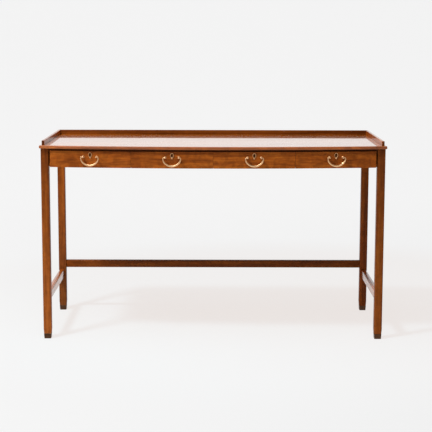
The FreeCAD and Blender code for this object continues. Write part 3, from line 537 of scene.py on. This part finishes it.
def post_mesh(name, place):
    """Two turned posts with rosettes and ball heads, their shanks and the nuts behind."""
    shape = bmesh.new()
    tail = FRONT_THICKNESS + NUT_THICKNESS + SHANK_TAIL
    profile = [(tail, SHANK - SHANK_CHAMFER), (tail - SHANK_CHAMFER, SHANK), (0.0, SHANK)]
    profile += [(-out * MM, radius * MM) for out, radius in POST_PROFILE]
    for step in range(HEAD_FIRST, HEAD_STEPS):
        angle = math.pi * step / HEAD_STEPS + HEAD_NUDGE
        depth = HEAD if step < HEAD_STEPS / 2 else HEAD_FRONT
        profile.append((depth * math.cos(angle) - POST_REACH, HEAD * math.sin(angle)))
    near, far = FRONT_THICKNESS, FRONT_THICKNESS + NUT_THICKNESS
    nut = [
        (near, NUT - NUT_CHAMFER), (near + NUT_CHAMFER, NUT),
        (far - NUT_CHAMFER, NUT), (far, NUT - NUT_CHAMFER),
    ]
    for x in (-POST_SPACING / 2, POST_SPACING / 2):
        turned(shape, x, profile, POST_SIDES)
        turned(shape, x, nut, NUT_SIDES)
    return as_mesh(name, shape, place)


# Keyhole plates
PLATE_HALF = (7.25 * MM, 9.5 * MM)
PLATE_RAYS = 72
KEY_HEAD = 2.8 * MM
KEY_SLOT = 1.9 * MM
KEY_RISE = 2.5 * MM
KEY_LENGTH = 10 * MM
# The wall of the keyhole, its chamfer, and the least width of metal round it
KEY_DEPTH = 1.5 * MM
KEY_LIP = 0.1 * MM
KEY_CHAMFER = 0.2 * MM
KEY_MARGIN = 0.4 * MM
# Inset from the oval's edge and height above the drawer face, from the field out over the rim
FIELD_HEIGHT = 0.3 * MM
PLATE_SECTION = [
    (2.9, 0.3), (2.5, 0.5), (2.2, 1.3), (1.6, 2.1),
    (0.8, 2.2), (0.3, 1.6), (0.0, 0.8), (0.0, 0.0),
]
FIELD_BANDS = 4
DROP_HALF = (3.5 * MM, 3.75 * MM)
DROP_OFFSET = 10.5 * MM
DROP_HEIGHT = 2.2 * MM
DROP_STEPS = 8
DROP_SIDES = 24


def key_reach(across, up):
    """From the middle of the keyhole's head to its edge, in one direction."""
    if up < 0 and abs(across) * KEY_HEAD < KEY_SLOT:
        wall = KEY_SLOT / max(abs(across), 1e-6)
        return max(KEY_HEAD, min(wall, KEY_LENGTH / -up))
    return KEY_HEAD


def oval_reach(across, up, half_width, half_height):
    """From the middle of the keyhole's head to an oval about the plate's middle."""
    a = (across / half_width) ** 2 + (up / half_height) ** 2
    b = 2 * up * KEY_RISE / half_height ** 2
    c = (KEY_RISE / half_height) ** 2 - 1
    return (-b + math.sqrt(b * b - 4 * a * c)) / (2 * a)


def plate_ring(rays, out, reaches):
    """One ring of a keyhole plate, at a height above the drawer face, with a reach along each ray."""
    level = PLATE_RISE + KEY_RISE
    return [
        Vector((across * reach, -out, level + up * reach))
        for (across, up), reach in zip(rays, reaches)
    ]


def plate_mesh(name, place):
    """A keyhole plate: an oval with a raised rim round a keyhole, and a small drop under it."""
    shape = bmesh.new()
    rays = circle(PLATE_RAYS)
    hole = [key_reach(across, up) for across, up in rays]
    rings = [
        plate_ring(rays, -KEY_DEPTH, hole),
        plate_ring(rays, KEY_LIP, hole),
        plate_ring(rays, FIELD_HEIGHT, [reach + KEY_CHAMFER for reach in hole]),
    ]
    for inset, out in PLATE_SECTION:
        half_width, half_height = (half - inset * MM for half in PLATE_HALF)
        reaches = [
            max(oval_reach(across, up, half_width, half_height), least + KEY_MARGIN)
            for (across, up), least in zip(rays, hole)
        ]
        rings.append(plate_ring(rays, out * MM, reaches))
    skin(shape, rings, close=False)
    # The sunk field takes the second material, brass darkened as painted shade
    for face in list(shape.faces)[:FIELD_BANDS * len(rays)]:
        face.material_index = 1
    domes = []
    for step in range(DROP_STEPS):
        angle = QUARTER_TURN * step / DROP_STEPS
        half_width, half_height = (half * math.cos(angle) for half in DROP_HALF)
        domes.append([
            Vector((
                half_width * across, -DROP_HEIGHT * math.sin(angle),
                PLATE_RISE - DROP_OFFSET + half_height * up,
            ))
            for across, up in circle(DROP_SIDES)
        ])
    skin(shape, domes)
    return as_mesh(name, shape, place)


for drawer in DRAWERS:
    name = f"drawer_{drawer}"
    place = face_frame(drawer)
    finish_node(f"{name}_front", front_wood(drawer))
    for piece, axis in (("sides", "y"), ("back", "x"), ("bottom", "x")):
        finish_node(f"{name}_{piece}", LININGS[axis])
    for piece in ("lock_case", "lock_bolt"):
        finish_node(f"{name}_{piece}", STEEL, LOCK_EASE)
    bail = bail_mesh(f"{name}_swan_neck", place)
    add_piece(f"{name}_swan_neck", bail, [BRASS], f"{name}_bail")
    posts = post_mesh(f"{name}_turned_posts", place)
    add_piece(f"{name}_turned_posts", posts, [BRASS], f"{name}_handle_posts")
    plate = plate_mesh(f"{name}_keyhole_plate", place)
    add_piece(f"{name}_keyhole_plate", plate, [BRASS, FIELD_SHADE_BRASS], f"{name}_escutcheon")


# Studio
SWEEP_HALF_WIDTH = 16.0
SWEEP_FRONT = -14.0
SWEEP_BACK = 7.0
SWEEP_HEIGHT = 9.0
SWEEP_BEND = 4.0
SWEEP_STEPS = 24


def sweep(name):
    """A floor that curves up into a backdrop."""
    foot = SWEEP_BACK - SWEEP_BEND
    profile = [(SWEEP_FRONT, 0.0), (foot, 0.0)]
    for step in range(1, SWEEP_STEPS + 1):
        angle = QUARTER_TURN * step / SWEEP_STEPS
        profile.append((foot + SWEEP_BEND * math.sin(angle), SWEEP_BEND - SWEEP_BEND * math.cos(angle)))
    profile.append((SWEEP_BACK, SWEEP_HEIGHT))
    points = [(side * SWEEP_HALF_WIDTH, y, z) for y, z in profile for side in (-1, 1)]
    faces = [(2 * row, 2 * row + 1, 2 * row + 3, 2 * row + 2) for row in range(len(profile) - 1)]
    mesh = bpy.data.meshes.new(name)
    mesh.from_pydata(points, [], faces)
    mesh.shade_smooth()
    item = bpy.data.objects.new(name, mesh)
    bpy.context.scene.collection.objects.link(item)
    return item


PAPER = (0.85, 0.85, 0.85, 1.0)
PAPER_BLUR = 0.9
# Round the desk the floor's own colour seen by the camera is cool and its glow warm, so the shadows there read
# warm: painted warm light bounced from the desk
FLOOR = (0.55, 0.85, 0.98, 1.0)
FLOOR_GLOW = (0.94, 0.872, 0.842, 1.0)
GLOW_SHARE = 0.85
# The floor round the desk: a shift to its middle, and the distances at which it ends
NEAR_SHIFT = (-0.3, -0.4, 0)
NEAR_RANGE = (1.1, 1.8)
# Places along Y between which the paper brightens behind the desk and in front of it
BEHIND_RANGE = (-1.0, 4.0)
BEFORE_RANGE = (-3.0, -8.0)
BRIGHTNESS = (0.845, 0.975)


def paper():
    """Pale seamless paper; most of what the camera and reflections see of it is one plain tone."""
    graph = Graph("studio_paper")
    path = graph.add("ShaderNodeLightPath").outputs
    depth = graph.coordinate("Y")
    around = graph.place(TRUE_SCALE, NEAR_SHIFT)
    reach = graph.add("ShaderNodeVectorMath", {"Vector": around}, operation="LENGTH").outputs["Value"]
    away = graph.steps(reach, *NEAR_RANGE)
    # The cool colour near the desk paints warm bounce light into the floor's shadows
    lit = graph.mix(path["Is Camera Ray"], PAPER, graph.mix(away, FLOOR, PAPER))
    graph.set(Base_Color=lit, Roughness=PAPER_BLUR, Specular_IOR_Level=0.0)
    seen = graph.math("MAXIMUM", path["Is Camera Ray"], path["Is Glossy Ray"])
    seen = graph.math("MAXIMUM", seen, path["Is Transmission Ray"])
    behind = graph.steps(depth, *BEHIND_RANGE, *BRIGHTNESS)
    before = graph.steps(depth, *BEFORE_RANGE, *BRIGHTNESS)
    plain = graph.gray(graph.math("MAXIMUM", behind, before))
    glow = graph.add("ShaderNodeEmission", {"Color": graph.mix(away, FLOOR_GLOW, plain)})
    blend = graph.add("ShaderNodeMixShader", {"Fac": graph.math("MULTIPLY", seen, GLOW_SHARE)})
    graph.feed(blend.inputs[1], graph.shader.outputs["BSDF"])
    graph.feed(blend.inputs[2], glow.outputs["Emission"])
    graph.feed(graph.tree.nodes["Material Output"].inputs["Surface"], blend.outputs["Shader"])
    return graph.material


backdrop = sweep("studio_sweep")
backdrop.data.materials.append(paper())


def lamp(name, location, target, size, power):
    """A rectangular lamp that points at a target."""
    data = bpy.data.lights.new(name, "AREA")
    data.shape = "RECTANGLE"
    data.size, data.size_y = size
    data.energy = power
    item = bpy.data.objects.new(name, data)
    item.location = location
    item.rotation_euler = (Vector(target) - Vector(location)).to_track_quat("-Z", "Y").to_euler()
    item.visible_camera = False
    bpy.context.scene.collection.objects.link(item)
    return item


# Name, place, target, size, power in watts, and whether polish and metal mirror the lamp
LAMPS = (
    ("key_light", (-2.2, -2.0, 4.5), (0, 0, 0.4), (0.6, 0.6), 205, True),
    ("front_light", (-0.8, -4.6, 3.6), (0, 0, 0.5), (3.0, 1.6), 45, False),
    ("top_light", (-1.0, -1.3, 4.2), (0, 0, 0.4), (4.0, 3.0), 100, False),
)
for lamp_name, location, target, size, power, mirrored in LAMPS:
    lamp(lamp_name, location, target, size, power).visible_glossy = mirrored

SKY = (0.9, 0.9, 0.9, 1.0)
SKY_LIGHT = 0.2
world = bpy.data.worlds.new("studio_world")
bpy.context.scene.world = world
world.use_nodes = True
sky = world.node_tree.nodes["Background"]
sky.inputs["Color"].default_value = SKY
path = world.node_tree.nodes.new("ShaderNodeLightPath")
level = world.node_tree.nodes.new("ShaderNodeMapRange")
level.inputs["To Min"].default_value = SKY_LIGHT
world.node_tree.links.new(path.outputs["Is Camera Ray"], level.inputs["Value"])
world.node_tree.links.new(level.outputs["Result"], sky.inputs["Strength"])

# Camera
CAMERA_PLACE = (0.00236, -5.0322, 1.1903)
CAMERA_LENS = 105.5
CAMERA_SENSOR = 36.0
CAMERA_DROP = math.radians(8.417)
CAMERA_YAW = -0.0019
CAMERA_ROLL = 0.0025
camera_data = bpy.data.cameras.new("camera")
camera_data.lens = CAMERA_LENS
camera_data.sensor_width = CAMERA_SENSOR
camera = bpy.data.objects.new("camera", camera_data)
bpy.context.scene.collection.objects.link(camera)
camera.matrix_world = (
    Matrix.Translation(CAMERA_PLACE)
    @ Matrix.Rotation(CAMERA_YAW, 4, "Z")
    @ Matrix.Rotation(QUARTER_TURN - CAMERA_DROP, 4, "X")
    @ Matrix.Rotation(CAMERA_ROLL, 4, "Z")
)
bpy.context.scene.camera = camera
bpy.context.scene.view_settings.view_transform = "Standard"
